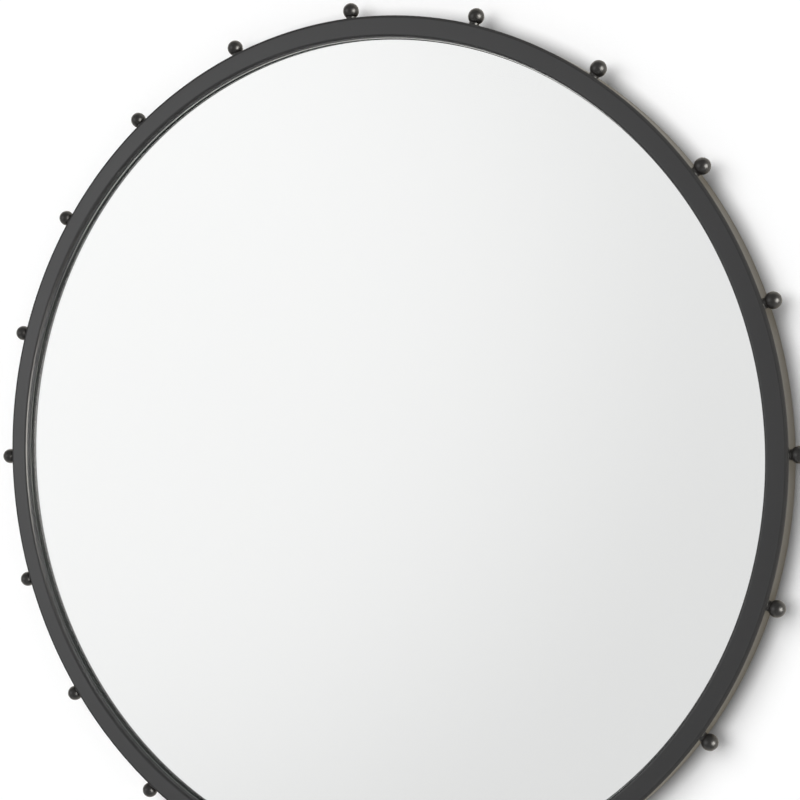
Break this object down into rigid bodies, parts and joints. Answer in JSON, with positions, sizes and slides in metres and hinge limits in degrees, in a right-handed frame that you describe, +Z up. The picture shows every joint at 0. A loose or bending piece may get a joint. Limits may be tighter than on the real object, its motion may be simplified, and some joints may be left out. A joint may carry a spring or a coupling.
{
  "type": "round wall mirror",
  "caption": "Round wall mirror in a deep tubular steel ring with small balls standing around its outer side, hung by two rings on its back.",
  "frame": {"origin": "centre of the ring in the plane of its flat rear side, which lies against the wall", "axes": "+Y out of the back towards the wall, -Y out of the glass towards the viewer, +Z up as it hangs, +X to the right seen from the front"},
  "size_m": [0.9128, 0.031, 0.9128],
  "materials": {
    "frame_paint": "satin charcoal powder coat",
    "ball_paint": "semi-gloss dark gunmetal",
    "mirror": "silvered float glass with ground edges",
    "pale_rubber": "matte",
    "foam_tape": "foam",
    "fibreboard": "raw medium density fibreboard",
    "zinc_screws": "bright zinc plated",
    "zinc_steel": "zinc plated"
  },
  "bodies": {
    "mirror_body": {"frame_ring": "frame_paint", "ball_01": "ball_paint", "ball_02": "ball_paint", "ball_03": "ball_paint", "ball_04": "ball_paint", "ball_05": "ball_paint", "ball_06": "ball_paint", "ball_07": "ball_paint", "ball_08": "ball_paint", "ball_09": "ball_paint", "ball_10": "ball_paint", "ball_11": "ball_paint", "ball_12": "ball_paint", "ball_13": "ball_paint", "ball_14": "ball_paint", "ball_15": "ball_paint", "ball_16": "ball_paint", "ball_17": "ball_paint", "ball_18": "ball_paint", "ball_19": "ball_paint", "ball_20": "ball_paint", "ball_studs": "ball_paint", "mirror_glass": "mirror", "edge_gasket": "pale_rubber", "bond_strips": "foam_tape", "backing_board": "fibreboard", "board_tab_1": "frame_paint", "board_tab_2": "frame_paint", "board_tab_3": "frame_paint", "board_tab_4": "frame_paint", "board_tab_5": "frame_paint", "board_tab_6": "frame_paint", "board_tab_7": "frame_paint", "board_tab_8": "frame_paint", "tab_screws": "zinc_screws", "hanger_strap_left": "zinc_steel", "hanger_strap_right": "zinc_steel", "strap_screws": "zinc_screws"},
    "left_hanging_ring": {"hanger_ring_left": "zinc_steel"},
    "right_hanging_ring": {"hanger_ring_right": "zinc_steel"}
  },
  "joints": [
    {"name": "hanger_ring_left_swing", "type": "hinge", "parent": "mirror_body", "child": "left_hanging_ring", "pos_m": [-0.23, -0.00675, 0.25], "axis": [1, 0, 0], "range_deg": [0, 180]},
    {"name": "hanger_ring_right_swing", "type": "hinge", "parent": "mirror_body", "child": "right_hanging_ring", "pos_m": [0.23, -0.00675, 0.25], "axis": [1, 0, 0], "range_deg": [0, 180]}
  ]
}
